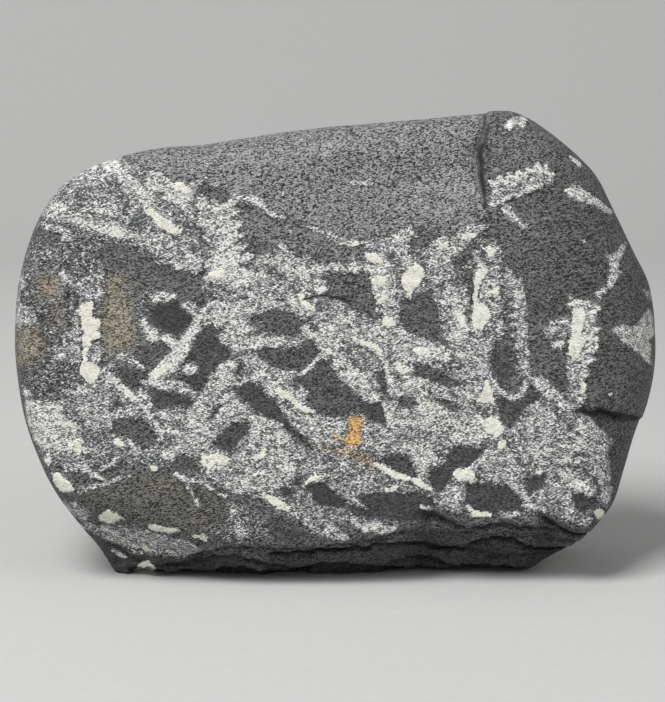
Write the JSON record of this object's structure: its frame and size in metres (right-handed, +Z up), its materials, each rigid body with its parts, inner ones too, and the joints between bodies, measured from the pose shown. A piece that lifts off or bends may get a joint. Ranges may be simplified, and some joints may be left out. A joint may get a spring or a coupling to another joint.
{
  "type": "graptolite fossil plate",
  "caption": "Beach-worn slab of dark shale that stands on its broken foot, its face crossed by pale saw-edged graptolite films.",
  "frame": {"origin": "middle of the slab's footprint, on the surface that it stands on", "axes": "+X to the right along the fossil face, -Y out of the fossil face, +Z up"},
  "size_m": [0.0662, 0.0212, 0.0472],
  "materials": {
    "shale": "matt worn shale with pale silver and cream mineral films"
  },
  "bodies": {
    "root": {"fossil_plate": "shale"}
  },
  "joints": []
}
